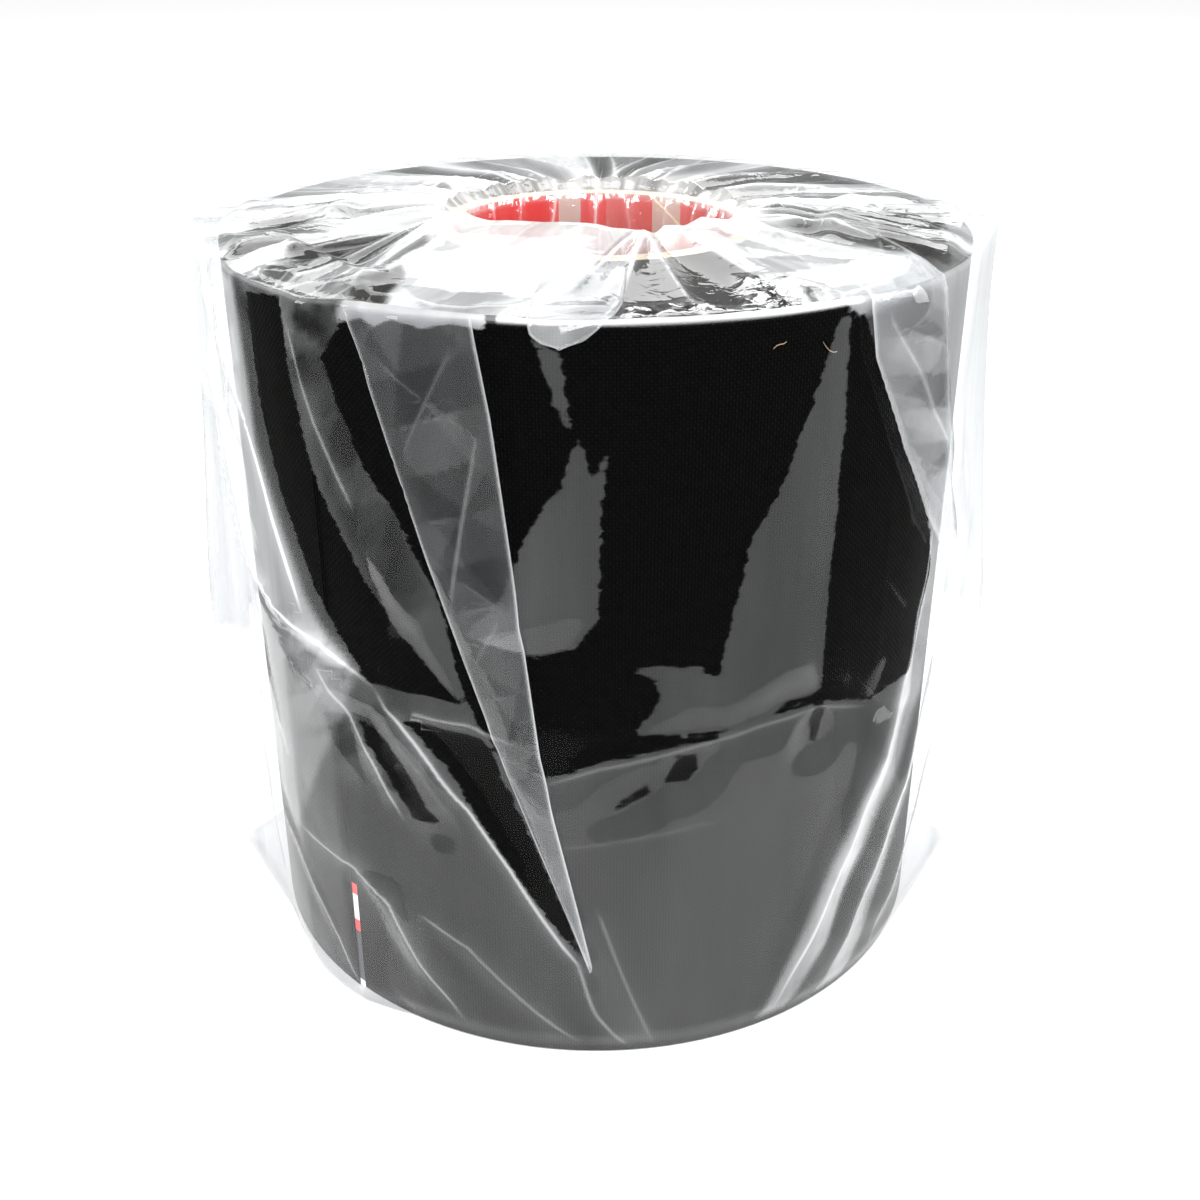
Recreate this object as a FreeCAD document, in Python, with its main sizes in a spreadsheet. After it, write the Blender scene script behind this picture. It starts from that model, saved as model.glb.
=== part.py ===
"""A wrapped roll of black cloth electrical tape, 38 mm bore by 100 mm wide.

The roll has a spiral-wound paper core, one long tape wound on it, and a paper starter tab under the tape's free end.
It stands in a clear film bag whose mouth is tucked into the core. Millimetres, +Z up along the core's axis, and the
origin on the surface that the bag stands on. The front of the roll faces -Y.
"""
import FreeCAD, Part
import math
import os
import Sketcher

# Driving dimensions. Each one can be changed by itself.
SIZES = {
    # paper core
    "bore_radius": 19.0,  # 38 mm core, the common small one
    "liner_wall": 0.2,  # printed paper, the innermost ply
    "ply_wall": 0.62,  # grey board
    "wrap_wall": 0.2,  # smooth kraft paper, the outermost ply
    "glue_line": 0.02,  # between one ply and the next
    "strip_pitch": 94.0,  # how far a ply's strip climbs in one turn
    "strip_gap": 0.7,  # between the strip's edges, along the axis
    # tape
    "tape_width": 100.0,
    "cloth_wall": 0.15,
    "adhesive_wall": 0.10,
    "turn_count": 110.0,
    "free_end_angle": 227.0,  # where the tape ends, 43 degrees left of the front
    "flap_angle": 12.0,  # the free end that peels
    "peel_gap": 0.03,  # under the free end
    "crack_angle": 0.06,  # the score line where the free end bends
    # starter tab
    "tab_wall": 0.06,
    "tab_height": 18.0,
    "tab_hidden_angle": 9.0,
    "tab_shown_angle": 1.2,
    "tab_clearance": 0.01,
    # film bag
    "film_wall": 0.08,
    "floor_clearance": 0.02,  # between the bag's bottom and the roll
    "sleeve_slack": 2.0,  # between the roll and the film around it
    "crease_reach": 5.5,  # how far the two side creases stand out from the sleeve
    "mouth_clearance": 0.2,  # between the roll's top and the sleeve's top edge
    "fold_clearance": 0.1,  # between the sleeve and the folded mouth above it
    "tuck_depth": 25.0,
    "tuck_clearance": 0.06,  # between the core's wall and the film inside it
    # cutting profiles
    "overcut": 0.2,  # how far a cut runs past the faces that it goes through
}
BOARD_PLIES = 4
PLY_START_ANGLES = {"core_liner": 40, "core_ply_1": 130, "core_ply_2": 250, "core_ply_3": 10, "core_ply_4": 100,
                    "core_wrap": 200}

doc = FreeCAD.newDocument("wrapped_tape_roll")


def make_sheet():
    """The spreadsheet that every size below is bound to."""
    sheet = doc.addObject("Spreadsheet::Sheet", "sizes")
    for row, (alias, value) in enumerate(SIZES.items(), start=1):
        sheet.set(f"A{row}", alias)
        sheet.set(f"B{row}", str(value))
        sheet.setAlias(f"B{row}", alias)
    doc.recompute()


def bind(thing, expressions):
    """Ties properties of a document object to the sheet: {property: expression}."""
    for name, text in expressions.items():
        thing.setExpression(name, text)


# Sizes that follow from the driving ones, as expressions on the sheet.
ROLL_BASE = "(sizes.film_wall + sizes.floor_clearance)"
ROLL_TOP = f"({ROLL_BASE} + sizes.tape_width)"
BOARD_START = "(sizes.bore_radius + sizes.liner_wall + sizes.glue_line)"
BOARD_STEP = "(sizes.ply_wall + sizes.glue_line)"
WRAP_START = f"({BOARD_START} + {BOARD_PLIES} * {BOARD_STEP})"
CORE_RADIUS = f"({WRAP_START} + sizes.wrap_wall)"
WOUND_START = f"({CORE_RADIUS} + sizes.glue_line)"
TAPE_WALL = "(sizes.cloth_wall + sizes.adhesive_wall)"
CENTRE_STEP = f"({TAPE_WALL} / 4)"  # each quarter turn of the tape is an arc with its own centre
# Radius of the first quarter turn of each surface in the last turn, from the inside out.
UNDER_LAST_TURN = f"({WOUND_START} + (sizes.turn_count - 2) * {TAPE_WALL})"
LAST_ADHESIVE = f"({UNDER_LAST_TURN} + sizes.adhesive_wall)"
LAST_CLOTH = f"({UNDER_LAST_TURN} + {TAPE_WALL})"
ROLL_RADIUS = f"({LAST_CLOTH} + 3.5 * {CENTRE_STEP})"
SLEEVE_RADIUS = f"({ROLL_RADIUS} + sizes.sleeve_slack)"
SLEEVE_OUTSIDE = f"({SLEEVE_RADIUS} + sizes.film_wall)"
CREASE = f"({SLEEVE_RADIUS} + sizes.crease_reach)"
SLEEVE_TOP = f"({ROLL_TOP} + sizes.mouth_clearance)"
FOLD_BASE = f"({SLEEVE_TOP} + sizes.fold_clearance)"
TUCK_OUTSIDE = "(sizes.bore_radius - sizes.tuck_clearance)"
TUCK_INSIDE = f"({TUCK_OUTSIDE} - sizes.film_wall)"


# ---- Bodies made from sketches: the core's plies and the film bag ----


def make_body(name):
    body = doc.addObject("PartDesign::Body", name)
    body.Label = name
    return body


def add_sketch(body, name, plane, height=None):
    """A sketch on one of the body's own origin planes, raised by height along the plane's normal."""
    sketch = body.newObject("Sketcher::SketchObject", name)
    support = next(f for f in body.Origin.OriginFeatures if f.Role == plane)
    sketch.AttachmentSupport = [(support, "")]
    sketch.MapMode = "FlatFace"
    if height:
        bind(sketch, {"AttachmentOffset.Base.z": height})
    return sketch


def add_circle(sketch, name, radius):
    """A circle about the sketch's origin, with its radius bound to an expression."""
    circle = sketch.addGeometry(Part.Circle(FreeCAD.Vector(), FreeCAD.Vector(0, 0, 1), 10), False)
    sketch.addConstraint(Sketcher.Constraint("Coincident", circle, 3, -1, 1))
    sketch.addConstraint(Sketcher.Constraint("Radius", circle, 10))
    sketch.renameConstraint(sketch.ConstraintCount - 1, name)
    bind(sketch, {f"Constraints.{name}": radius})


def add_pad(body, sketch, length):
    pad = body.newObject("PartDesign::Pad", f"{body.Name}_pad")
    pad.Profile = sketch
    bind(pad, {"Length": length})
    return pad


def add_seam(body, inner, wall):
    """Cuts the gap between the edges of a ply's strip, a helix from below the ply to above it."""
    sketch = add_sketch(body, f"{body.Name}_seam", "XZ_Plane")
    left, bottom, right, top = (sketch.addGeometry(Part.LineSegment(FreeCAD.Vector(*a), FreeCAD.Vector(*b)), False)
                                for a, b in (((9, 2), (9, 0)), ((9, 0), (12, 0)), ((12, 0), (12, 2)), ((12, 2), (9, 2))))
    for first, second in ((left, bottom), (bottom, right), (right, top), (top, left)):
        sketch.addConstraint(Sketcher.Constraint("Coincident", first, 2, second, 1))
    for line in (left, right):
        sketch.addConstraint(Sketcher.Constraint("Vertical", line))
    for line in (bottom, top):
        sketch.addConstraint(Sketcher.Constraint("Horizontal", line))
    for name, constraint in {
        "gap": Sketcher.Constraint("DistanceY", bottom, 1, top, 2, 2),
        "inner": Sketcher.Constraint("DistanceX", -1, 1, bottom, 1, 9),
        "outer": Sketcher.Constraint("DistanceX", -1, 1, bottom, 2, 12),
        "below": Sketcher.Constraint("DistanceY", bottom, 1, -1, 1, 0.5),
    }.items():
        sketch.addConstraint(constraint)
        sketch.renameConstraint(sketch.ConstraintCount - 1, name)
    bind(sketch, {"Constraints.gap": "sizes.strip_gap",
                  "Constraints.inner": f"{inner} - sizes.overcut",
                  "Constraints.outer": f"{inner} + {wall} + sizes.overcut",
                  "Constraints.below": "sizes.strip_gap + sizes.overcut"})
    doc.recompute()
    helix = body.newObject("PartDesign::SubtractiveHelix", f"{body.Name}_strip_gap")
    helix.Profile = sketch
    axis = next(f for f in body.Origin.OriginFeatures if f.Role == "Z_Axis")
    helix.ReferenceAxis = (axis, [""])
    helix.Mode = "pitch-height-angle"
    bind(helix, {"Pitch": "sizes.strip_pitch",
                 "Height": f"{ROLL_TOP} + sizes.strip_gap + 2 * sizes.overcut"})
    body.Tip = helix


def make_ply(name, inner, wall):
    """One ply of the core: a paper strip wound as a helix, its edges a narrow gap apart."""
    body = make_body(name)
    sketch = add_sketch(body, f"{name}_ring", "XY_Plane", ROLL_BASE)
    add_circle(sketch, "inner", inner)
    add_circle(sketch, "outer", f"{inner} + {wall}")
    pad = add_pad(body, sketch, "sizes.tape_width")
    doc.recompute()
    whole = pad.Shape.Volume
    add_seam(body, inner, wall)
    doc.recompute()
    if not body.Shape.Volume < whole:
        raise RuntimeError(f"{name}: the strip's gap cut nothing")
    body.Placement.Rotation = FreeCAD.Rotation(FreeCAD.Vector(0, 0, 1), PLY_START_ANGLES[name])
    return body


def add_bag_outline(sketch, name, radius, crease):
    """The bag's plan: two arcs about the roll, and straight film from them to a crease at each side."""
    start_radius, start_crease = 50.0, 56.0
    turn = math.acos(start_radius / start_crease)
    touch = [FreeCAD.Vector(start_radius * math.cos(a), start_radius * math.sin(a), 0)
             for a in (turn, math.pi - turn, math.pi + turn, -turn)]
    right, left = FreeCAD.Vector(start_crease, 0, 0), FreeCAD.Vector(-start_crease, 0, 0)
    circle = Part.Circle(FreeCAD.Vector(), FreeCAD.Vector(0, 0, 1), start_radius)
    back = sketch.addGeometry(Part.ArcOfCircle(circle, turn, math.pi - turn), False)
    front = sketch.addGeometry(Part.ArcOfCircle(circle, math.pi + turn, 2 * math.pi - turn), False)
    back_right, back_left, front_left, front_right = (
        sketch.addGeometry(Part.LineSegment(corner, point), False)
        for corner, point in ((right, touch[0]), (left, touch[1]), (left, touch[2]), (right, touch[3])))
    for arc in (back, front):
        sketch.addConstraint(Sketcher.Constraint("Coincident", arc, 3, -1, 1))
    for line, arc, end in ((back_right, back, 1), (back_left, back, 2), (front_left, front, 1), (front_right, front, 2)):
        sketch.addConstraint(Sketcher.Constraint("Tangent", line, 2, arc, end))
    sketch.addConstraint(Sketcher.Constraint("Coincident", back_right, 1, front_right, 1))
    sketch.addConstraint(Sketcher.Constraint("Coincident", back_left, 1, front_left, 1))
    for corner in (back_right, back_left):
        sketch.addConstraint(Sketcher.Constraint("PointOnObject", corner, 1, -1))
    sketch.addConstraint(Sketcher.Constraint("Equal", back, front))
    for label, constraint in {
        f"{name}_radius": Sketcher.Constraint("Radius", back, start_radius),
        f"{name}_right": Sketcher.Constraint("DistanceX", -1, 1, back_right, 1, start_crease),
        f"{name}_left": Sketcher.Constraint("DistanceX", back_left, 1, -1, 1, start_crease),
    }.items():
        sketch.addConstraint(constraint)
        sketch.renameConstraint(sketch.ConstraintCount - 1, label)
    bind(sketch, {f"Constraints.{name}_radius": radius,
                  f"Constraints.{name}_right": crease,
                  f"Constraints.{name}_left": crease})


def add_outer_outline(sketch):
    """The outline of the bag's outside, a film's thickness from its inside everywhere."""
    add_bag_outline(sketch, "outside", SLEEVE_OUTSIDE, f"{CREASE} * {SLEEVE_OUTSIDE} / {SLEEVE_RADIUS}")


def make_bag_sleeve():
    """The film around the roll, with the two creases that the bag was flat along."""
    body = make_body("bag_sleeve")
    sketch = add_sketch(body, "sleeve_plan", "XY_Plane", "sizes.film_wall")
    add_outer_outline(sketch)
    add_bag_outline(sketch, "inside", SLEEVE_RADIUS, CREASE)
    add_pad(body, sketch, f"{SLEEVE_TOP} - sizes.film_wall")
    return body


def make_bag_bottom():
    """The closed end of the bag, which the roll stands on."""
    body = make_body("bag_bottom")
    sketch = add_sketch(body, "bottom_plan", "XY_Plane")
    add_outer_outline(sketch)
    add_pad(body, sketch, "sizes.film_wall")
    return body


def make_bag_mouth_fold():
    """The film gathered flat over the roll's top face, as far in as the core's mouth."""
    body = make_body("bag_mouth_fold")
    sketch = add_sketch(body, "fold_plan", "XY_Plane", FOLD_BASE)
    add_outer_outline(sketch)
    add_circle(sketch, "mouth", TUCK_INSIDE)
    add_pad(body, sketch, "sizes.film_wall")
    return body


def make_bag_mouth_tuck():
    """The bag's open end, pushed down inside the core and lying against its wall."""
    body = make_body("bag_mouth_tuck")
    sketch = add_sketch(body, "tuck_ring", "XY_Plane", f"{ROLL_TOP} - sizes.tuck_depth")
    add_circle(sketch, "inner", TUCK_INSIDE)
    add_circle(sketch, "outer", TUCK_OUTSIDE)
    add_pad(body, sketch, f"{FOLD_BASE} - {ROLL_TOP} + sizes.tuck_depth")
    return body


# ---- Tape: the outline of a wound tape is four quarter arcs whose centres step round a small square ----


def quarter_centre(index):
    """Expressions for the centre of the arc of quarter turn 0 to 3, seen with the tape's free end on +X."""
    x_sign, y_sign = ((-1, 1), (-1, -1), (1, -1), (1, 1))[index]
    return f"{x_sign} * {CENTRE_STEP} / 2", f"{y_sign} * {CENTRE_STEP} / 2"


def add_sector(name, index, radius, angle, start=None, base=ROLL_BASE, height="sizes.tape_width"):
    """A sector of a cylinder about a quarter turn's centre."""
    sector = doc.addObject("Part::Cylinder", name)
    x, y = quarter_centre(index)
    bind(sector, {"Radius": radius, "Height": height, "Angle": angle,
                  "Placement.Base.x": x, "Placement.Base.y": y, "Placement.Base.z": base})
    sector.Placement.Rotation = FreeCAD.Rotation(FreeCAD.Vector(0, 0, 1), 90 * index)
    if start:
        bind(sector, {"Placement.Rotation.Angle": start})
    return sector


def add_wound_cylinder(name, radius):
    """The solid inside one turn of the tape, whose radius grows by the tape's thickness from start to end."""
    quarters = [add_sector(f"{name}_quarter_{i}", i, f"{radius} + {i} * {CENTRE_STEP}", "90") for i in range(4)]
    whole = doc.addObject("Part::MultiFuse", name)
    whole.Shapes = quarters
    return whole


def add_cut(name, base, tool):
    cut = doc.addObject("Part::Cut", name)
    cut.Base = base
    cut.Tool = tool
    cut.Label = name
    return cut


def turn_to_free_end(part):
    """Turns a tape piece, made with its free end on +X, to where the free end is."""
    part.Placement.Rotation = FreeCAD.Rotation(FreeCAD.Vector(0, 0, 1), 0)
    bind(part, {"Placement.Rotation.Angle": "sizes.free_end_angle"})
    return part


def make_tape_turns():
    """All the turns but the last, wound solid."""
    hole = doc.addObject("Part::Cylinder", "core_seat")
    bind(hole, {"Radius": WOUND_START, "Height": "sizes.tape_width", "Placement.Base.z": ROLL_BASE})
    wound = add_wound_cylinder("wound_turns", UNDER_LAST_TURN)
    return turn_to_free_end(add_cut("tape_turns", wound, hole))


def make_last_turn(name, inner, outer):
    """One layer of the last turn, as far as the score line where the free end bends."""
    layer = add_cut(f"{name}_layer", add_wound_cylinder(f"{name}_outside", outer),
                    add_wound_cylinder(f"{name}_inside", inner))
    removed = "(sizes.flap_angle + sizes.crack_angle)"
    free_end = add_sector(f"{name}_free_end", 3, f"{outer} + 20", removed, f"0 - {removed}")
    return turn_to_free_end(add_cut(name, layer, free_end))


def make_end_layer(name, inner, outer):
    """One layer of the free end, a sector of the last quarter turn."""
    grown = f"+ 3 * {CENTRE_STEP}"
    outside = add_sector(f"{name}_outside", 3, f"{outer} {grown}", "sizes.flap_angle", "0 - sizes.flap_angle")
    inside = add_sector(f"{name}_inside", 3, f"{inner} {grown}", "sizes.flap_angle", "0 - sizes.flap_angle")
    return add_cut(name, outside, inside)


def add_tab_solid(name, inner, outer, height):
    """The starter tab's curved strip, from under the free end to just past it."""
    grown = f"+ 3 * {CENTRE_STEP}"
    angle = "(sizes.tab_hidden_angle + sizes.tab_shown_angle)"
    start = "0 - sizes.tab_hidden_angle"
    outside = add_sector(f"{name}_outside", 3, f"{outer} {grown}", angle, start, height=height)
    inside = add_sector(f"{name}_inside", 3, f"{inner} {grown}", angle, start, height=height)
    return add_cut(name, outside, inside)


def make_free_end():
    """The cloth, the adhesive and the starter tab of the free end. The adhesive is pressed thin over the tab."""
    underside = f"({UNDER_LAST_TURN} + sizes.peel_gap)"
    tab_outside = f"({underside} + sizes.tab_wall)"
    cloth = make_end_layer("tape_end_cloth", LAST_ADHESIVE, LAST_CLOTH)
    adhesive = make_end_layer("whole_end_adhesive", underside, LAST_ADHESIVE)
    tab = add_tab_solid("starter_tab", underside, tab_outside, "sizes.tab_height")
    seat = add_tab_solid("tab_seat", f"{underside} - sizes.tab_clearance", f"{tab_outside} + sizes.tab_clearance",
                         "sizes.tab_height + sizes.tab_clearance")
    pressed = add_cut("tape_end_adhesive", adhesive, seat)
    return [turn_to_free_end(piece) for piece in (cloth, pressed, tab)]


def make_parts():
    parts = [make_ply("core_liner", "sizes.bore_radius", "sizes.liner_wall")]
    for number in range(BOARD_PLIES):
        start = f"({BOARD_START} + {number} * {BOARD_STEP})"
        parts.append(make_ply(f"core_ply_{number + 1}", start, "sizes.ply_wall"))
    parts.append(make_ply("core_wrap", WRAP_START, "sizes.wrap_wall"))
    parts.append(make_tape_turns())
    parts.append(make_last_turn("last_turn_adhesive", UNDER_LAST_TURN, LAST_ADHESIVE))
    parts.append(make_last_turn("last_turn_cloth", LAST_ADHESIVE, LAST_CLOTH))
    parts += make_free_end()
    parts += [make_bag_sleeve(), make_bag_bottom(), make_bag_mouth_fold(), make_bag_mouth_tuck()]
    return parts


def check(parts):
    """Stops the script if any object failed or any part isn't a valid solid."""
    failed = [o.Name for o in doc.Objects if {"Invalid", "Error"} & set(o.State)]
    if failed:
        raise RuntimeError(f"these objects failed: {failed}")
    for part in parts:
        if part.Shape.isNull() or not part.Shape.isValid() or not part.Shape.Solids:
            raise RuntimeError(f"{part.Label} has no valid solid")


def main():
    make_sheet()
    parts = make_parts()
    doc.recompute()
    check(parts)
    os.makedirs("parts", exist_ok=True)
    for part in parts:
        part.Shape.exportStep(f"parts/{part.Label}.step")
        box = part.Shape.BoundBox
        print(f"{part.Label}: {len(part.Shape.Solids)} solid, {part.Shape.Volume:.1f} mm3,"
              f" z {box.ZMin:.2f} to {box.ZMax:.2f}, x {box.XMin:.2f} to {box.XMax:.2f}")


main()
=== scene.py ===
import bpy
import bmesh
import math
import random
import numpy as np
from mathutils import Matrix, Vector


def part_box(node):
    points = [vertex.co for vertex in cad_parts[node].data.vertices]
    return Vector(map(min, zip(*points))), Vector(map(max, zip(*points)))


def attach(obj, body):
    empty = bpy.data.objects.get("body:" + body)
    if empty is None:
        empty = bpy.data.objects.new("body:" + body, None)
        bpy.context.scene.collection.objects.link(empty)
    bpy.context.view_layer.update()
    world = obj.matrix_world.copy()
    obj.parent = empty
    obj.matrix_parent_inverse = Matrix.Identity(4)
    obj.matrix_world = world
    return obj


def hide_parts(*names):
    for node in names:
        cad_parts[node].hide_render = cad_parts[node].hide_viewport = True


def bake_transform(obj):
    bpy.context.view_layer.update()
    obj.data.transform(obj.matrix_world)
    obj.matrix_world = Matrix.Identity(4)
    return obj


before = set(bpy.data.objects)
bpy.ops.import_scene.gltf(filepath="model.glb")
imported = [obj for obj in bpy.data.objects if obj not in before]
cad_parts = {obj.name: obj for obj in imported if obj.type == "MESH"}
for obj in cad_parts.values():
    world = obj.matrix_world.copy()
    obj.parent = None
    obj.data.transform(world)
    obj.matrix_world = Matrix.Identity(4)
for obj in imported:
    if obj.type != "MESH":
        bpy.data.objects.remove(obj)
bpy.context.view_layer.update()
MM = 0.001


# ---- Camera ----
# It stands in front of the roll and looks down at it, close enough for a strong perspective.
TILT_DOWN = 26.62  # degrees below level
camera_data = bpy.data.cameras.new("camera")
camera_data.lens = 43.85
camera_data.sensor_width = 36
camera_data.shift_x = 0.003
camera = bpy.data.objects.new("camera", camera_data)
camera.location = (0, -0.1981, 0.1426)
camera.rotation_euler = (math.radians(90 - TILT_DOWN), 0, 0)
bpy.context.scene.collection.objects.link(camera)
bpy.context.scene.camera = camera
bpy.context.scene.view_settings.view_transform = "Standard"


# ---- Studio ----
# A white sweep and large softboxes. The sheet of paper under the roll is small, so that the reflections in
# the film show its edge, and dark room beyond it.
def add_node(tree, kind, inputs=None, **settings):
    """A shader node with its settings, and its inputs linked or set."""
    node = tree.nodes.new("ShaderNode" + kind)
    for name, value in settings.items():
        setattr(node, name, value)
    for name, value in (inputs or {}).items():
        if isinstance(value, bpy.types.NodeSocket):
            tree.links.new(value, node.inputs[name])
        else:
            node.inputs[name].default_value = value
    return node


def new_material(name):
    material = bpy.data.materials.new(name)
    material.use_nodes = True
    material.node_tree.nodes.clear()
    return material, material.node_tree


def finish_material(tree, shader):
    add_node(tree, "OutputMaterial", {"Surface": shader})


def link_mesh(name, bm, material, smooth=True):
    """Turns a bmesh into an object of the scene."""
    mesh = bpy.data.meshes.new(name)
    bm.to_mesh(mesh)
    bm.free()
    if smooth:
        mesh.shade_smooth()
    mesh.materials.append(material)
    piece = bpy.data.objects.new(name, mesh)
    bpy.context.scene.collection.objects.link(piece)
    return piece


floor_material, tree = new_material("studio_floor")
finish_material(tree, add_node(tree, "BsdfDiffuse", {"Color": (0.9, 0.9, 0.9, 1)}).outputs[0])
GROUND = (("floor", 3.0, -0.3 * MM, False), ("paper", 0.13, -0.1 * MM, True))
for name, half_size, height, reflected in GROUND:
    bm = bmesh.new()
    if reflected:
        bmesh.ops.create_circle(bm, cap_ends=True, segments=96, radius=half_size)
    else:
        bmesh.ops.create_grid(bm, x_segments=1, y_segments=1, size=half_size)
    bmesh.ops.translate(bm, verts=bm.verts, vec=(0, 0, height))
    ground = link_mesh(name, bm, floor_material, smooth=False)
    ground.visible_glossy = reflected
    ground.visible_diffuse = False

world = bpy.data.worlds.new("studio")
bpy.context.scene.world = world
world.use_nodes = True
tree = world.node_tree
tree.nodes.clear()
white_room = add_node(tree, "Background", {"Color": (1, 1, 1, 1), "Strength": 1.0})
dark_room = add_node(tree, "Background", {"Color": (0.9, 0.95, 1, 1), "Strength": 0.03})
seen_by = add_node(tree, "LightPath")
room = add_node(tree, "MixShader", {0: seen_by.outputs["Is Glossy Ray"], 1: white_room.outputs[0],
                                    2: dark_room.outputs[0]})
add_node(tree, "OutputWorld", {"Surface": room.outputs[0]})

SOFTBOXES = {  # name: (place, what it points at, width, height, power in watts)
    "overhead_softbox": ((0.1, 0.15, 0.9), (0, 0, 0.05), 0.7, 0.5, 3),
    "back_softbox": ((-0.1, 0.75, 0.75), (0, 0, 0.1), 1.0, 0.5, 6),
    "left_softbox": ((-0.85, -0.25, 0.35), (0, 0, 0.05), 0.6, 0.6, 9),
    "right_softbox": ((0.85, -0.2, 0.35), (0, 0, 0.05), 0.6, 0.6, 9),
    "front_softbox": ((0.1, -0.95, 0.40), (0, 0, 0.05), 0.8, 0.4, 13),
}
for name, (place, target, width, height, power) in SOFTBOXES.items():
    light = bpy.data.lights.new(name, "AREA")
    light.shape = "RECTANGLE"
    light.size = width
    light.size_y = height
    light.energy = power
    softbox = bpy.data.objects.new(name, light)
    softbox.location = place
    softbox.rotation_euler = (Vector(target) - Vector(place)).to_track_quat("-Z", "Y").to_euler()
    softbox.visible_camera = False
    bpy.context.scene.collection.objects.link(softbox)


# ---- Core plies ----
# Strips of grey board, wound and glued as a spiral tube. Their cut edge at the core's mouth is cream and
# fibrous. The outer wrap, which the tape starts on, is a smoother brown kraft paper.
def value_of(tree, operation, first, second=0.0):
    """The output of a maths node."""
    return add_node(tree, "Math", {0: first, 1: second}, operation=operation).outputs[0]


def sum_of(tree, first, second):
    return value_of(tree, "ADD", first, second)


def product_of(tree, first, second):
    return value_of(tree, "MULTIPLY", first, second)


def color_ramp(tree, factor, stops, interpolation="LINEAR"):
    """Colours along a 0 to 1 value: stops is a list of (place, colour)."""
    ramp = add_node(tree, "ValToRGB", {0: factor})
    ramp.color_ramp.interpolation = interpolation
    elements = ramp.color_ramp.elements
    while len(elements) < len(stops):
        elements.new(1.0)
    for element, (place, color) in zip(elements, stops):
        element.position = place
        element.color = (*color, 1)
    return ramp.outputs["Color"]


def board_material(name, dark, light):
    material, tree = new_material(name)
    place = add_node(tree, "TexCoord").outputs["Object"]
    fibres = add_node(tree, "TexNoise", {"Vector": place, "Scale": 2600, "Detail": 6, "Roughness": 0.7})
    blotches = add_node(tree, "TexNoise", {"Vector": place, "Scale": 260, "Detail": 3})
    mixed = sum_of(tree, product_of(tree, fibres.outputs[0], 0.7),
                     product_of(tree, blotches.outputs[0], 0.3))
    bump = add_node(tree, "Bump", {"Strength": 0.5, "Distance": 0.05 * MM, "Height": fibres.outputs[0]})
    color = color_ramp(tree, mixed, [(0.3, dark), (0.7, light)])
    shader = add_node(tree, "BsdfPrincipled", {
        "Base Color": color, "Roughness": 0.85, "Normal": bump.outputs[0]})
    finish_material(tree, shader.outputs[0])
    return material


def dress(node, material):
    """Gives a CAD node its finish."""
    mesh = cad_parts[node].data
    mesh.materials.clear()
    mesh.materials.append(material)


core_board = board_material("core_board", (0.56, 0.45, 0.30), (0.88, 0.79, 0.60))
for number in range(1, 5):
    dress(f"core_ply_{number}", core_board)
dress("core_wrap", board_material("wrap_paper", (0.42, 0.30, 0.18), (0.62, 0.48, 0.32)))


# ---- Core liner ----
# The innermost ply, white paper printed red with plain pale bands that run along the bore. The film has worn
# the print in places.
def turn_around(tree, place):
    """How far round the axis a point is, from 0 to 1, and its distance from the axis."""
    axes = add_node(tree, "SeparateXYZ", {0: place})
    angle = value_of(tree, "ARCTAN2", axes.outputs["X"], product_of(tree, axes.outputs["Y"], -1.0))
    share = sum_of(tree, value_of(tree, "DIVIDE", angle, math.tau), 0.5)
    flat = add_node(tree, "CombineXYZ", {"X": axes.outputs["X"], "Y": axes.outputs["Y"]})
    radius = add_node(tree, "VectorMath", {0: flat.outputs[0]}, operation="LENGTH").outputs["Value"]
    return share, radius, axes.outputs["Z"]


RED, PINK, PALE = (0.55, 0.010, 0.007), (0.52, 0.085, 0.075), (0.47, 0.34, 0.29)
# Where each band starts, in degrees from the back of the bore, and its colour.
LINER_BANDS = [(-180, PINK), (-164, RED), (-122, PALE), (-110, RED), (-18, PALE), (-8, RED), (3, PINK),
               (24, PALE), (38, PINK), (58, RED), (73, PINK), (86, RED), (128, PALE), (140, RED), (158, PALE)]
material, tree = new_material("liner_paper")
place = add_node(tree, "TexCoord").outputs["Object"]
share, radius, height = turn_around(tree, place)
from_back = value_of(tree, "FRACT", value_of(tree, "SUBTRACT", 1.5, share))
band_starts = [((degrees + 180) / 360, color) for degrees, color in LINER_BANDS]
bands = color_ramp(tree, from_back, band_starts, "CONSTANT")
wear = add_node(tree, "TexNoise", {"Vector": place, "Scale": 420, "Detail": 6, "Roughness": 0.75})
worn = color_ramp(tree, wear.outputs[0], [(0.60, (0, 0, 0)), (0.72, (1, 1, 1))])
printed = add_node(tree, "Mix", {0: product_of(tree, worn, 0.35), 6: bands, 7: (*PALE, 1)},
                   data_type="RGBA").outputs[2]
shader = add_node(tree, "BsdfPrincipled", {"Base Color": printed, "Roughness": 0.45})
finish_material(tree, shader.outputs[0])
dress("core_liner", material)


# ---- Tape ----
# Black cotton-like cloth, plain woven at 0.4 mm, with a black rubber adhesive on its inside. The roll's end
# faces are the cut edges of 110 turns, which show as fine rings.
THREAD_PITCH = 0.40 * MM
TURN_PITCH = 0.25 * MM
roll_low, roll_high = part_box("last_turn_cloth")
roll_radius = (roll_high.x - roll_low.x) / 2
material, tree = new_material("tape_cloth")
place = add_node(tree, "TexCoord").outputs["Object"]
share, radius, height = turn_around(tree, place)
around = product_of(tree, share, math.tau * roll_radius * math.pi / THREAD_PITCH)
upwards = product_of(tree, height, math.pi / THREAD_PITCH)
weft = value_of(tree, "SINE", around)
warp = value_of(tree, "SINE", upwards)
crossings = product_of(tree, weft, warp)
threads = sum_of(tree, value_of(tree, "ABSOLUTE", weft), value_of(tree, "ABSOLUTE", warp))
weave = sum_of(tree, product_of(tree, crossings, 0.2), product_of(tree, threads, 0.4))
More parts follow.
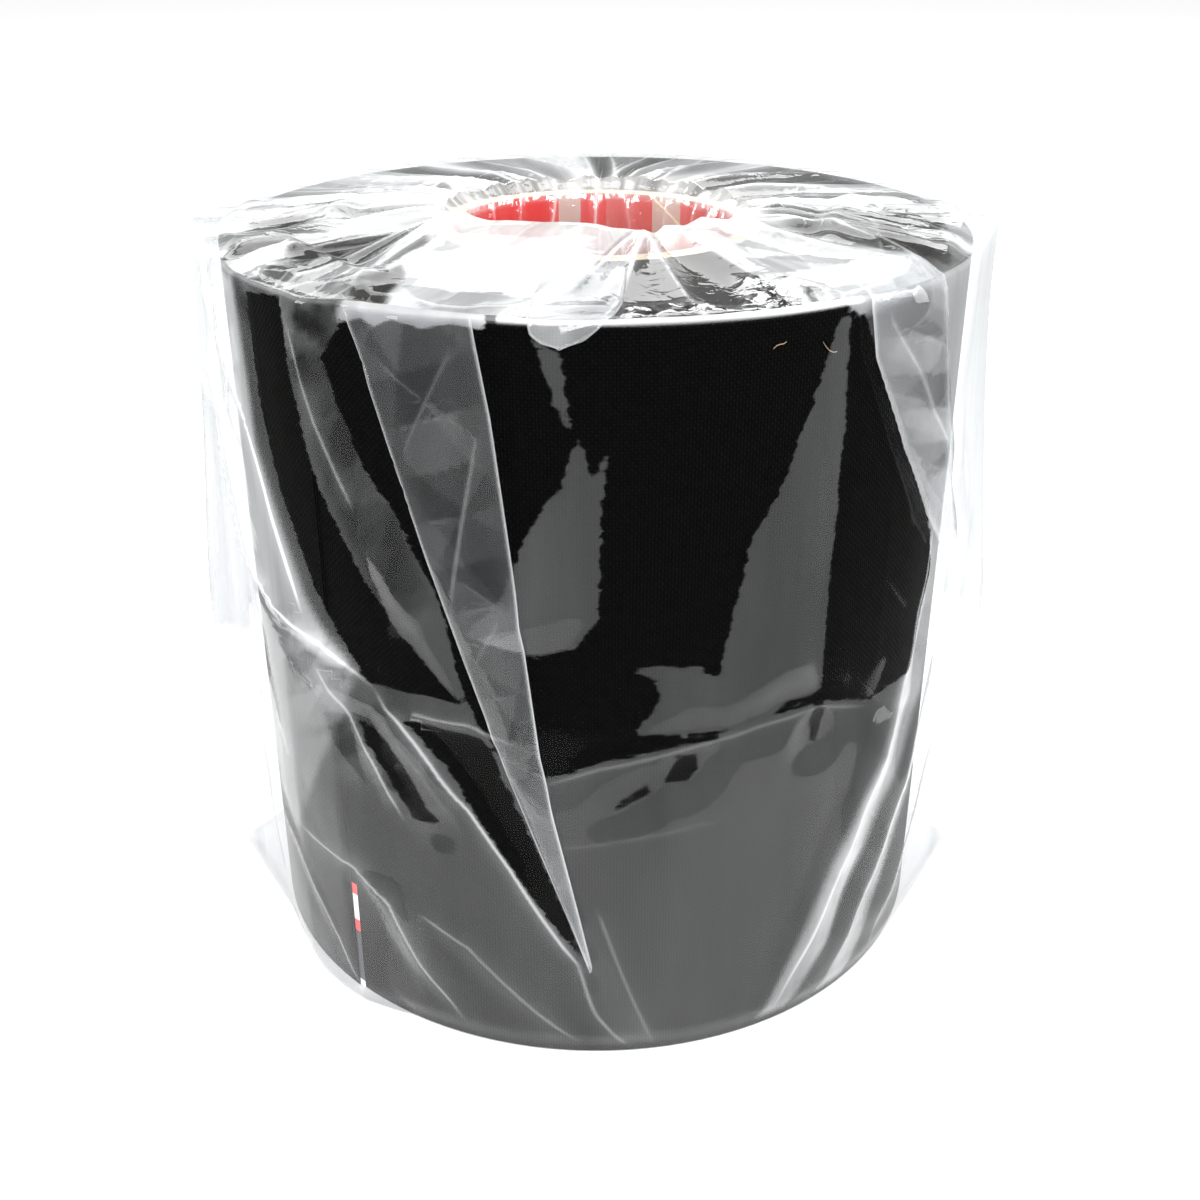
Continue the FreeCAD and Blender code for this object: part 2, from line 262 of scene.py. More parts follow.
slubs = add_node(tree, "TexNoise", {"Vector": place, "Scale": 900, "Detail": 4, "Roughness": 0.7})
weave = product_of(tree, weave, sum_of(tree, slubs.outputs[0], 0.55))
cloth_color = color_ramp(tree, weave, [(0.25, (0.0001, 0.0001, 0.0001)), (0.95, (0.0022, 0.0020, 0.0018))])
rings = product_of(tree, radius, 1 / TURN_PITCH)
ring_place = add_node(tree, "CombineXYZ", {"X": rings, "Y": product_of(tree, share, 9.0), "Z": 0.0})
ring_noise = add_node(tree, "TexNoise", {"Vector": ring_place.outputs[0], "Scale": 1.0, "Detail": 4,
                                         "Roughness": 0.8}).outputs[0]
ring_color = color_ramp(tree, ring_noise, [(0.35, (0.006, 0.006, 0.006)), (0.75, (0.055, 0.052, 0.048))])
facing_up = value_of(tree, "ABSOLUTE", add_node(tree, "SeparateXYZ", {
    0: add_node(tree, "TexCoord").outputs["Normal"]}).outputs["Z"])
on_end = value_of(tree, "GREATER_THAN", facing_up, 0.5)
color = add_node(tree, "Mix", {0: on_end, 6: cloth_color, 7: ring_color}, data_type="RGBA").outputs[2]
relief = add_node(tree, "Mix", {0: on_end, 2: weave, 3: ring_noise}, data_type="FLOAT").outputs[0]
bump = add_node(tree, "Bump", {"Strength": 0.8, "Distance": 0.06 * MM, "Height": relief})
fluff = color_ramp(tree, weave, [(0.35, (0, 0, 0)), (0.9, (1.0, 0.9, 0.8))])
shader = add_node(tree, "BsdfPrincipled", {
    "Base Color": color, "Roughness": 0.62, "Specular IOR Level": 0.03, "Sheen Weight": 0.05,
    "Sheen Roughness": 0.4, "Sheen Tint": fluff, "Normal": bump.outputs[0]})
finish_material(tree, shader.outputs[0])
for node in ("tape_turns", "last_turn_cloth", "tape_end_cloth"):
    dress(node, material)

material, tree = new_material("tape_adhesive")
place = add_node(tree, "TexCoord").outputs["Object"]
strings = add_node(tree, "TexNoise", {
    "Vector": place, "Scale": 700, "Detail": 5, "Roughness": 0.6}).outputs[0]
bump = add_node(tree, "Bump", {"Strength": 0.4, "Distance": 0.05 * MM, "Height": strings})
color = color_ramp(tree, strings, [(0.3, (0.004, 0.004, 0.004)), (0.7, (0.012, 0.011, 0.010))])
shader = add_node(tree, "BsdfPrincipled", {"Base Color": color, "Roughness": 0.35, "Normal": bump.outputs[0]})
finish_material(tree, shader.outputs[0])
for node in ("last_turn_adhesive", "tape_end_adhesive"):
    dress(node, material)


# ---- Starter tab ----
# A slip of white paper printed red across its ends, stuck under the tape's free end so that the end can be
# found and lifted.
tab_low, tab_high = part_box("starter_tab")
material, tree = new_material("tab_paper")
place = add_node(tree, "TexCoord").outputs["Object"]
height = add_node(tree, "SeparateXYZ", {0: place}).outputs["Z"]
share = value_of(tree, "DIVIDE", value_of(tree, "SUBTRACT", height, tab_low.z), tab_high.z - tab_low.z)
TAB_INK, TAB_PAPER, TAB_BACK = (0.86, 0.06, 0.07), (0.86, 0.82, 0.88), (0.05, 0.05, 0.06)
TAB_BANDS = [(0.0, TAB_PAPER), (0.06, TAB_BACK), (0.55, TAB_INK), (0.66, TAB_PAPER), (0.90, TAB_INK)]
inked = color_ramp(tree, share, TAB_BANDS, "CONSTANT")
grain = add_node(tree, "TexNoise", {"Vector": place, "Scale": 3000, "Detail": 4})
bump = add_node(tree, "Bump", {"Strength": 0.3, "Distance": 0.02 * MM, "Height": grain.outputs[0]})
shader = add_node(tree, "BsdfPrincipled", {"Base Color": inked, "Roughness": 0.5, "Normal": bump.outputs[0]})
finish_material(tree, shader.outputs[0])
dress("starter_tab", material)


# ---- Bag film ----
# One clear polythene bag, 165 mm wide when flat, blown as a tube and pulled over the roll. It clings to the
# cloth in places, where it looks black, and stands off in others, as a grey veil. It is white where creased.
# The grey of the veil is partly the film's own milkiness and partly painted reflection, and the white of the
# creases is partly painted highlight. The film also carries painted shade, where it is seen edge-on and where
# two layers stand out from the roll, and painted light and shade on its crumpled facets.
CREASE_WIDTH = 0.24  # half the width of a white crease line, in millimetres
RAGGED = 1.9  # how far the edge of a clinging patch wanders, in millimetres


def film_material(name):
    """Clear film. The mesh stores where it touches the cloth, how hazy it is and how near a crease is. The
    haze is partly painted reflection, a crease's white is partly painted highlight, and the see-through
    colour is greyed as painted shade.
    """
    material, tree = new_material(name)
    place = add_node(tree, "TexCoord").outputs["Object"]
    touch = add_node(tree, "Attribute", attribute_name="touch_mm").outputs["Fac"]
    haze_and_reflection = add_node(tree, "Attribute", attribute_name="haze_and_reflection").outputs["Fac"]
    crease = add_node(tree, "Attribute", attribute_name="crease_mm").outputs["Fac"]
    white = add_node(tree, "Attribute", attribute_name="crease_white_and_highlight").outputs["Fac"]
    crinkle = add_node(tree, "Attribute", attribute_name="crinkle").outputs["Fac"]
    shade = add_node(tree, "Attribute", attribute_name="shade").outputs["Fac"]
    threads = add_node(tree, "VectorMath", {0: place, 1: (0.35, 0.35, 1.7)}, operation="MULTIPLY").outputs[0]
    ragged = add_node(tree, "TexNoise", {"Vector": threads, "Scale": 450, "Detail": 4, "Roughness": 0.7})
    wander = product_of(tree, value_of(tree, "SUBTRACT", ragged.outputs[0], 0.5), RAGGED)
    edge = sum_of(tree, touch, wander)
    touching = add_node(tree, "MapRange", {0: edge, 1: -0.15, 2: 0.15}).outputs[0]
    standing_off = value_of(tree, "SUBTRACT", 1.0, touching)
    sideways = add_node(tree, "LayerWeight", {"Blend": 0.5}).outputs["Facing"]
    grazing = value_of(tree, "POWER", sideways, 4.0)
    # The white crease line is partly the film's whitening and partly painted highlight along the crest.
    width = value_of(tree, "DIVIDE", crease, CREASE_WIDTH)
    line = value_of(tree, "EXPONENT", product_of(tree, product_of(tree, width, width), -1.0))
    line = product_of(tree, line, white)
    axes = add_node(tree, "SeparateXYZ", {0: place})
    flat = add_node(tree, "CombineXYZ", {"X": axes.outputs["X"], "Y": axes.outputs["Y"]}).outputs[0]
    outward = add_node(tree, "VectorMath", {0: flat}, operation="NORMALIZE").outputs[0]
    distance = add_node(tree, "VectorMath", {0: flat}, operation="LENGTH").outputs["Value"]
    drawn = product_of(tree, value_of(tree, "SUBTRACT", axes.outputs["Z"], distance), 0.12)
    drawn = add_node(tree, "CombineXYZ", {"Z": drawn}).outputs[0]
    outward = add_node(tree, "VectorMath", {0: outward, "Scale": 0.05}, operation="SCALE").outputs[0]
    drawn = add_node(tree, "VectorMath", {0: outward, 1: drawn}, operation="ADD").outputs[0]
    streaks = add_node(tree, "TexNoise", {"Vector": drawn, "Scale": 170, "Detail": 4,
                                          "Roughness": 0.6}).outputs[0]
    contrast = sum_of(tree, product_of(tree, crinkle, 4.5), 0.8)
    uneven = product_of(tree, value_of(tree, "SUBTRACT", streaks, 0.5), contrast)
    # The veil is the stored haze, which is partly the film's milkiness and partly painted reflection.
    veil = product_of(tree, haze_and_reflection, value_of(tree, "MAXIMUM", sum_of(tree, uneven, 1.0), 0.15))
    veil = product_of(tree, veil, sum_of(tree, product_of(tree, grazing, 1.5), 1.0))
    veil = product_of(tree, veil, standing_off)
    haze_and_painted_light = add_node(tree, "Math", {0: veil, 1: line}, operation="ADD", use_clamp=True).outputs[0]
    waves = add_node(tree, "TexNoise", {"Vector": place, "Scale": 70, "Detail": 0}).outputs[0]
    crumple = add_node(tree, "TexNoise", {"Vector": place, "Scale": 330, "Detail": 2,
                                          "Distortion": 1.5}).outputs[0]
    facets = add_node(tree, "TexVoronoi", {"Vector": place, "Scale": 210}).outputs["Distance"]
    crumple = sum_of(tree, crumple, product_of(tree, facets, 0.5))
    relief = sum_of(tree, product_of(tree, waves, 0.4), product_of(tree, crumple, crinkle))
    bump = add_node(tree, "Bump", {"Strength": 1.0, "Distance": 0.5 * MM, "Height": relief}).outputs[0]
    # Painted shade: the see-through colour is greyed where the film is seen edge-on and where shade is
    # stored.
    painted_dimming = value_of(tree, "MAXIMUM", grazing, product_of(tree, shade, streaks))
    painted_shade_tint = color_ramp(tree, painted_dimming, [(0.0, (0.93, 0.935, 0.94)), (1.0, (0.60, 0.61, 0.62))])
    clear = add_node(tree, "BsdfTransparent", {"Color": painted_shade_tint}).outputs[0]
    front = add_node(tree, "BsdfDiffuse", {"Color": (0.93, 0.95, 0.96, 1)}).outputs[0]
    through = add_node(tree, "BsdfTranslucent", {"Color": (0.93, 0.95, 0.96, 1)}).outputs[0]
    milky = add_node(tree, "MixShader", {0: 0.4, 1: front, 2: through}).outputs[0]
    body = add_node(tree, "MixShader", {0: haze_and_painted_light, 1: clear, 2: milky}).outputs[0]
    shine = sum_of(tree, product_of(tree, crinkle, 0.25), 0.008)
    shine = product_of(tree, shine, standing_off)
    shine = sum_of(tree, shine, sum_of(tree, product_of(tree, grazing, 0.45), 0.003))
    glossy = add_node(tree, "BsdfGlossy", {"Color": (1, 1, 1, 1), "Roughness": 0.07, "Normal": bump})
    finish_material(tree, add_node(tree, "MixShader", {0: shine, 1: body, 2: glossy.outputs[0]}).outputs[0])
    return material


def near_path(path, points):
    """Signed distance from points to a path, and how far along it the nearest place is, from 0 to 1."""
    path = np.array(path, float)
    lengths = np.linalg.norm(np.diff(path, axis=0), axis=1)
    best = np.full(len(points), 1e9)
    signed = np.zeros(len(points))
    along = np.zeros(len(points))
    done = 0.0
    for start, end, length in zip(path, path[1:], lengths):
        run = (end - start) / length
        reach = np.clip((points - start) @ run, 0, length)
        offset = points - start - reach[:, None] * run
        distance = np.linalg.norm(offset, axis=1)
        side = np.sign(run[0] * offset[:, 1] - run[1] * offset[:, 0])
        closer = distance < best
        best = np.where(closer, distance, best)
        signed = np.where(closer, distance * side, signed)
        along = np.where(closer, (done + reach) / lengths.sum(), along)
        done += length
    return signed, along


def inside_outline(outline, points):
    """Signed distance from points to a closed outline, positive inside it."""
    signed, along = near_path(outline + outline[:1], points)
    corners = np.array(outline + outline[:1], float)
    crossed = np.zeros(len(points), bool)
    for (ax, ay), (bx, by) in zip(corners, corners[1:]):
        if ay == by:
            continue
        spans = (ay > points[:, 1]) != (by > points[:, 1])
        crossed ^= spans & (points[:, 0] < (bx - ax) * (points[:, 1] - ay) / (by - ay) + ax)
    return np.where(crossed, 1, -1) * np.abs(signed)


def smooth(value, low, high):
    share = np.clip((value - low) / (high - low), 0, 1)
    return share * share * (3 - 2 * share)


# The film is worked out in millimetres. A place on the sides is (degrees right of the front, height), and a
# place on the top is (degrees right of the front, distance from the axis).
ROLL = roll_radius / MM
TOP = roll_high.z / MM
DEGREE = math.radians(1) * ROLL
CLING = 0.45  # film to cloth, where it clings
LOOSE = 1.3  # film to cloth, where it stands off
CREST = 20.2  # the film turns down into the core here
EAR_AT_BOTTOM = 8.5  # how far the two side creases stand out at the floor
FREE_END = [(-66, 0.0), (-50, 1.7), (-40, 1.7), (-31, 0.0)]  # (degrees, room over the tape's end)


def flatten(path):
    """A path on the sides, from degrees and height to millimetres on the unrolled film."""
    return [(degrees * DEGREE, height) for degrees, height in path]


def polar(path):
    """A path on the top, from degrees and distance to a plan in millimetres."""
    return [(distance * math.sin(math.radians(degrees)), -distance * math.cos(math.radians(degrees)))
            for degrees, distance in path]


# Where the film clings to the sides, as outlines, and the loose islands inside them.
CLINGING = [
    [(-52, 99), (-51, 86), (-47.8, 76), (-42, 65), (-34, 53), (-18.5, 53), (-22, 55.5), (-28, 61),
     (-33.7, 67.5), (-39.9, 80), (-42.6, 91), (-43.3, 100)],
    [(-37, 94), (-34, 86), (-30.7, 80), (-27, 76), (-21.4, 66), (-18.5, 54), (-14, 47), (-7, 43.8),
     (0.5, 46.4), (12.9, 48.8), (23, 50.2), (33.4, 50.4), (44.5, 47), (56, 50), (59, 62), (57, 70),
     (46, 84), (38, 96), (35, 101), (-32, 101)],
    [(-28, 49), (-16, 49), (-8, 32), (-1.2, 15), (-4.6, 19.5), (-13.4, 32), (-20.6, 43), (-27.5, 48.5)],
    [(-36, 47.4), (-32.4, 46.8), (-25.5, 38), (-22.9, 34.5), (-27.5, 35), (-34.8, 45)],
]
# Small clinging spots. The last three are thin dark strips along the long crease across the front: painted
# dark reflection, drawn as film clinging to the black cloth.
CLING_SPOTS_AND_DARK_REFLECTIONS = [
    [(10.8, 47.3), (12.7, 47), (15.6, 46.6), (14.4, 46), (14.1, 44.2), (12.8, 43), (9.5, 43), (10.6, 45)],
    [(2.4, 39.1), (3.2, 41), (7, 43), (7.8, 42)],
    [(33, 51), (34.6, 49), (33.9, 44.2), (32.3, 44.4), (32, 48)],
    [(-5, 46.4), (0.5, 47.6), (8.7, 48.8), (11.9, 49), (11.9, 50), (3, 50)],
    [(12.5, 48.7), (17, 48.5), (17, 49.8), (12.5, 49.9)],
    [(22.8, 49.7), (28, 51.5), (33.7, 51.4), (43, 47.8), (38.7, 48.8), (33.8, 50.1), (29, 50.2)],
]
ISLANDS = [
    [(-18.3, 62), (-13.7, 61.4), (-7.9, 60.6), (-3.1, 61.8), (0.2, 65.5), (0.6, 78.4), (1.4, 86),
     (-0.5, 83), (-2.2, 88), (-4.5, 82), (-7.9, 78), (-12.6, 68)],
    [(32.3, 99), (28.7, 89.5), (24.5, 79.5), (20.9, 74.5), (18.8, 66), (16.8, 57), (14, 58.6), (8.5, 59.5),
     (5, 59), (8, 57.5), (9, 55), (4, 49), (16, 49.6), (34, 50.6), (33.9, 63), (34.1, 76), (34.4, 87),
     (34, 99)],
    [(-8, 99), (-4.5, 97), (-3, 88), (-5, 91)],
    [(-34.5, 104), (-34, 98.2), (-31, 98.9), (-29, 98.1), (-26, 99.3), (-22, 98.7), (-18, 99.6), (-14, 99.2),
     (-11, 104)],
    [(31, 104), (33, 100.3), (35.5, 98.5), (38, 99), (44, 100), (52, 104)],
]
# Creases on the sides: the path, how far the fold stands out, its half width, and how white its crest is.
# The white is partly painted highlight along the crest.
SIDE_CREASES = [
    ([(-78, 93), (-72, 75), (-63, 62), (-52, 58.5), (-41, 57), (-33, 52.3)], 1.6, 4.0, 1.2),
    ([(-33, 52.3), (-26.3, 46.4), (-18.1, 38), (-12.4, 30.2), (-5, 18.5), (-1, 13)], 0.9, 3.0, 0.7),
    ([(-68, 99), (-60, 89), (-53, 78), (-48, 68), (-44, 60)], 1.3, 4.0, 1.6),
    ([(-75, 76), (-64, 71), (-55.7, 65)], 1.1, 3.5, 0.45),
    ([(-42.4, 97), (-38.6, 86), (-33.4, 76)], 0.6, 2.5, 0.30),
    ([(-42.6, 54), (-38.2, 49), (-33.5, 41.8), (-29.1, 34)], 0.9, 3.0, 0.45),
    ([(-66, 34), (-60, 27), (-52.5, 22), (-44.4, 13), (-38, 3)], 1.3, 4.5, 0.40),
    ([(-52, 26), (-38.9, 24.4), (-31.8, 20.8), (-26.9, 12.6), (-20, 3)], 1.0, 4.0, 0.40),
    ([(-28, 20), (-19, 17), (-9, 8), (-2, 2)], 0.8, 4.0, 0.25),
    ([(-68, 56), (-58, 45), (-53, 34)], 1.3, 5.0, 0.30),
    ([(-9, 42.6), (-7, 43), (0.5, 45.6), (12.9, 47.9), (23.2, 49.2), (33.4, 49.5), (44.5, 46)],
     0.4, 3.0, 0.13),
    ([(-6, 34), (4, 35.5), (16, 37), (18, 37.4)], 0.15, 2.0, 0.05),
    ([(-28, 50), (-18, 50.5), (-11, 48)], 0.5, 2.0, 0.30),
    ([(0, 25), (4, 14), (9, 1)], 0.7, 4.0, 0.16),
    ([(-3, 16), (0, 8), (5, 1)], 0.8, 4.0, 0.30),
    ([(60, 70), (57.5, 60), (50, 46), (42, 31), (33, 12), (28, 2)], 1.5, 4.5, 0.60),
    ([(67, 62), (60, 47), (52, 30), (43, 13), (38, 2)], 1.5, 4.0, 0.55),
    ([(72, 50), (63, 32), (54, 12), (50, 2)], 1.2, 4.0, 0.40),
    ([(20, 62), (18, 30), (20, 4)], 0.35, 5.0, 0.0),
    ([(90, 97), (90, 2)], 0.0, 1.0, 0.35),
    ([(-90, 97), (-90, 2)], 0.0, 1.0, 0.35),
]
# Hazier stretches of the sides: the outline and how hazy the film is there. The haze is partly painted
# reflection.
SIDE_VEILS = [
    ([(57, 74), (57.5, 63), (51, 49), (47.6, 42.7), (38, 26), (26.3, 2), (31, 2), (42, 20), (52, 36),
      (59, 48), (68, 60), (66, 76)], 0.27),
    ([(66, 60), (60, 47), (52, 30), (43, 13), (38, 2), (44, 2), (50, 14), (58, 30), (66, 46), (72, 58)],
     0.23),
    ([(-90, 100), (-56, 100), (-53, 80), (-44, 63), (-36, 54), (-50, 57), (-64, 61), (-74, 72), (-90, 80)],
     0.30),
    ([(-96, 103), (-68, 103), (-67, 94), (-72, 80), (-96, 74)], 0.46),
    ([(-90, 78), (-74, 70), (-63, 60), (-50, 57), (-36, 53), (-40, 44), (-52, 24), (-66, 30), (-90, 40)],
     0.16),
    ([(-36, 100), (-35, 92), (-32, 84), (-22, 66), (-30, 62), (-38, 78), (-42, 98)], 0.035),
    ([(52, 101), (58, 84), (63, 70), (66, 20), (92, 4), (92, 101)], 0.26),
    ([(-34, 103), (-33.5, 98.2), (-31, 98.9), (-29, 98.1), (-26, 99.3), (-22, 98.7), (-18, 99.6),
      (-14, 99.2), (-11, 100.2), (-11, 103)], 0.40),
    ([(31, 103), (33, 100.3), (35.5, 98.5), (38, 99), (44, 100), (52, 100.3), (52, 103)], 0.35),
    ([(-4, 22), (-1, 22), (9, 2), (4, 2)], 0.075),
]
# Crumpled stretches: the outline, seed, facet size, height, how much the facets differ in painted light and
# shade, and how white their edges are.
SIDE_CRUMPLES = [
    ([(-80, 101), (-60, 101), (-56, 90), (-60, 76), (-80, 80)], 3, 9, 0.8, 0.5, 0.15),
    ([(-58, 103), (-30, 103), (-33, 94), (-40, 90), (-54, 94)], 4, 5, 0.7, 0.7, 0.0),
    ([(-44, 92), (-30, 92), (-22, 64), (-30, 60), (-38, 76)], 5, 12, 0.4, 0.35, 0.0),
    ([(-60, 62), (-34, 58), (-20, 40), (-24, 30), (-50, 44)], 6, 9, 0.6, 0.4, 0.05),
    ([(-70, 40), (-48, 40), (-20, 10), (-30, 2), (-64, 4)], 7, 16, 0.6, 0.3, 0.04),
    ([(44, 60), (70, 80), (84, 60), (60, 10), (30, 0), (34, 16)], 8, 14, 0.5, 0.12, 0.03),
]

# Over the back half the bag is loose in most places, and hangs in long bent pleats.
chance = random.Random(14)


def blot(center, wide, tall):
    """An irregular outline round a place on the sides."""
    outline = []
    middle = chance.uniform(45, 62)
    lean = chance.uniform(-8, 8)
    for turn in range(0, 360, 24):
        out = chance.uniform(0.7, 1.25)
        up = out * math.sin(math.radians(turn))
        outline.append((center + wide * out * math.cos(math.radians(turn)) + lean * up, middle + tall * up))
    return outline


for degrees in range(97, 270, 13):
    high = chance.uniform(60, 99)
    low = chance.uniform(2, high - 35)
    lean = chance.uniform(-14, 14)
    bend = chance.uniform(-4, 4)
    path = [(degrees + bend * share * (1 - share) * 4 + lean * share, high + (low - high) * share)
            for share in (0, 0.2, 0.45, 0.7, 1)]
    SIDE_CREASES.append((path, chance.uniform(0.6, 1.8), chance.uniform(3, 7), chance.uniform(0.1, 0.7)))
BACK_PATCHES = [(104, 8, 30), (128, 5, 22), (158, 9, 34), (188, 5, 28), (214, 10, 24), (246, 7, 36)]
for center, wide, tall in BACK_PATCHES:
    CLINGING.append(blot(center, wide, tall))
    SIDE_VEILS.append((blot(center + wide + 6, 5, 44), chance.uniform(0.09, 0.2)))
SIDE_CRUMPLES.append(([(96, 103), (264, 103), (264, 0), (96, 0)], 9, 24, 1.0, 0.3, 0.0))


def wrap(degrees, center):
    """The same angle, within half a turn of the centre."""
    return (degrees - center + 180) % 360 - 180 + center


def around_path(path, degrees, heights):
    """Points of the unrolled sides, cut open on the far side from a path."""
    center = sum(angle for angle, height in path) / len(path)
    return np.stack([wrap(degrees, center) * DEGREE, heights], axis=1)


class Film:
    """What the mesh stores about the film at each point, and how far the folds move it out."""

    def __init__(self, count):
        self.touch = np.full(count, -9.0)
        self.haze_and_reflection = np.zeros(count)
        self.crease = np.full(count, 9.0)
        self.white = np.zeros(count)
        self.crinkle = np.zeros(count)
        self.shade = np.zeros(count)
        self.rise = np.zeros(count)
        self.pull = np.zeros(count)

    def line(self, signed, white):
        """A crisp white line where the film is creased: partly the film's own whitening there and partly
        painted highlight along the crest. The nearest and whitest crease wins.
        """
        pull = white * np.exp(-np.abs(signed))
        nearer = pull > self.pull
        self.pull = np.where(nearer, pull, self.pull)
        self.crease = np.where(nearer, signed, self.crease)
        self.white = np.where(nearer, white * (1 - smooth(np.abs(signed), 1.0, 2.2)), self.white)

    def fold(self, signed, along, height, half_width, white, grow=1.0):
        """A tent-shaped fold, which fades at the two ends of its path."""
        fade = smooth(along, -0.02, 0.12) * (1 - smooth(along, 0.85, 1.02)) * grow
        tent = np.clip(1 - np.abs(signed) / half_width, 0, 1) ** 1.4
        slope = smooth(along, 0.0, 0.35) * (1 - smooth(along, 0.7, 1.0)) * grow
        self.rise = np.maximum(self.rise, height * slope * tent)
        self.haze_and_reflection += 0.22 * white * fade * tent ** 2
        self.line(signed, white * fade)

    def crumple(self, share, across, up, seed, size, height, tone, white):
        """Flat facets with sharp edges between them. The haze is raised on facets that tilt one way and
        lowered on those that tilt the other: painted light and shade.
        """
        folds = random.Random(seed)
        total = np.zeros(len(across))
        for _ in range(5):
            turn = folds.uniform(0, math.pi)
            length = size * folds.uniform(0.8, 2.2)
            place = (across * math.cos(turn) + up * math.sin(turn)) / length + folds.random()
            place = place % 1
            self.rise += share * height * 0.4 * np.abs(place * 2 - 1)
            total += np.sign(place - 0.5) * folds.uniform(0.5, 1.0)
            self.line((place - 0.5) * length, share * white * folds.uniform(-0.8, 1.0))
        # Painted light and shade: facets on one flank of each fold are whiter, those on the other clearer.
        self.haze_and_reflection *= 1 + share * tone * np.clip(total / 2, -1, 1.5)

    def store(self, mesh):
        stored = {"touch_mm": self.touch, "haze_and_reflection": self.haze_and_reflection, "crease_mm": self.crease,
                  "crease_white_and_highlight": self.white, "crinkle": self.crinkle, "shade": self.shade}
        for name, values in stored.items():
            attribute = mesh.attributes.new(name, "FLOAT", "POINT")
            attribute.data.foreach_set("value", values.astype(np.float32))


def ripple(degrees, heights, seed):
    """Soft unevenness of the film, from -1 to 1, as a few crossing waves."""
    waves = random.Random(seed)
    total = np.zeros(len(degrees))
    for _ in range(7):
        turns = waves.randint(2, 14)
        lean = heights * waves.uniform(-0.22, 0.22)
        total += np.sin(np.radians(degrees) * turns + lean + waves.uniform(0, 6.3))
    return total / 4


def side_film(degrees, heights):
    """The film round the roll: its distance from the axis and what is stored there."""
    film = Film(len(degrees))
    for outline in CLINGING:
        points = around_path(outline, degrees, heights)
        film.touch = np.maximum(film.touch, inside_outline(flatten(outline), points))
    for outline in ISLANDS:
        points = around_path(outline, degrees, heights)
        film.touch = np.minimum(film.touch, -inside_outline(flatten(outline), points))
    for outline in CLING_SPOTS_AND_DARK_REFLECTIONS:
        points = around_path(outline, degrees, heights)
        film.touch = np.maximum(film.touch, inside_outline(flatten(outline), points))
    film.haze_and_reflection[:] = 0.052 + 0.006 * ripple(degrees, heights, 3)
    for outline, amount in SIDE_VEILS:
        share = smooth(inside_outline(flatten(outline), around_path(outline, degrees, heights)), -0.8, 0.8)
        film.haze_and_reflection += (amount - film.haze_and_reflection) * share
    for path, height, half_width, white in SIDE_CREASES:
        signed, along = near_path(flatten(path), around_path(path, degrees, heights))
        film.fold(signed, along, height, half_width, 0.5 * white)
    for outline, seed, size, height, tone, white in SIDE_CRUMPLES:
        share = smooth(inside_outline(flatten(outline), around_path(outline, degrees, heights)), -2, 4)
        film.crumple(share, wrap(degrees, 0) * DEGREE, heights, seed, size, height, tone, white)
        film.crinkle = np.maximum(film.crinkle, 0.2 * tone * share)
    loose = smooth(-film.touch, 0, 5)
    reach = np.where(degrees < 0, 4.5, 3.5)
    reach += (EAR_AT_BOTTOM - reach) * smooth(TOP - heights, 5, 70)
    base = ROLL + CLING + (LOOSE - CLING) * loose
    base += (ROLL + 0.15 - base) * smooth(5 - heights, 0, 5)
    tangent = np.arccos(base / (base + reach))
    from_ear = np.radians(np.abs(np.abs(wrap(degrees, 0)) - 90))
    ear = base / np.cos(np.clip(tangent - from_ear, 0, None)) - base
    end_room = np.interp(degrees, *zip(*FREE_END))
    out = np.maximum(film.rise * (0.2 + 0.8 * smooth(heights, 0, 12)), end_room)
    radius = base + ear + out + 0.12 * loose * smooth(heights, 0, 8) * ripple(degrees, heights, 5)
    return radius, film


# Folds of the top: the path between the rim and the core, the height, the half width, how white the crest is.
# The white is partly painted highlight along the crest.
TOP_CREASES = [
    ([(-48, 26), (-42, 36), (-43, 45), (-46, 51)], 1.2, 2.0, 1.0),
    ([(-45, 27), (-38, 38), (-38, 47), (-40, 51)], 0.8, 1.6, 1.0),
    ([(-48, 25), (-59, 38), (-59, 45), (-54, 50.5)], 1.4, 2.0, 0.9),
    ([(70, 19), (90, 26), (90, 33), (80, 40), (68, 50)], 1.5, 2.2, 1.0),
    ([(57, 21), (68, 30), (61, 39), (49, 50)], 1.2, 2.0, 1.0),
    ([(-101, 18), (-125, 26), (-131, 45), (-124, 50)], 1.3, 2.0, 0.8),
    ([(-33, 50.5), (-42, 34), (-57, 20)], 2.2, 5.0, 0.9),
    ([(-13, 50.5), (-3, 41), (9, 27), (17, 20)], 1.8, 4.0, 0.9),
    ([(0.4, 50.5), (3.4, 42.8), (15, 22.6)], 1.2, 2.5, 0.9),
    ([(13.3, 50.5), (13.1, 46), (14.5, 27), (18, 20)], 1.0, 2.5, 0.8),
    ([(29.8, 50.5), (26.7, 42), (25, 28), (24, 20)], 1.6, 4.0, 0.7),
    ([(50, 50.5), (50, 40), (45, 28), (40, 20)], 1.6, 4.0, 0.8),
    ([(64, 50.5), (66, 36), (66, 20)], 1.4, 3.0, 0.7),
    ([(-46, 50.5), (-47, 40), (-60, 21)], 1.3, 2.5, 0.9),
    ([(-58, 50.5), (-62, 44), (-60, 36), (-72, 21)], 1.2, 2.5, 0.8),
    ([(-64, 50.5), (-72, 38), (-84, 20)], 1.2, 2.5, 0.7),
]
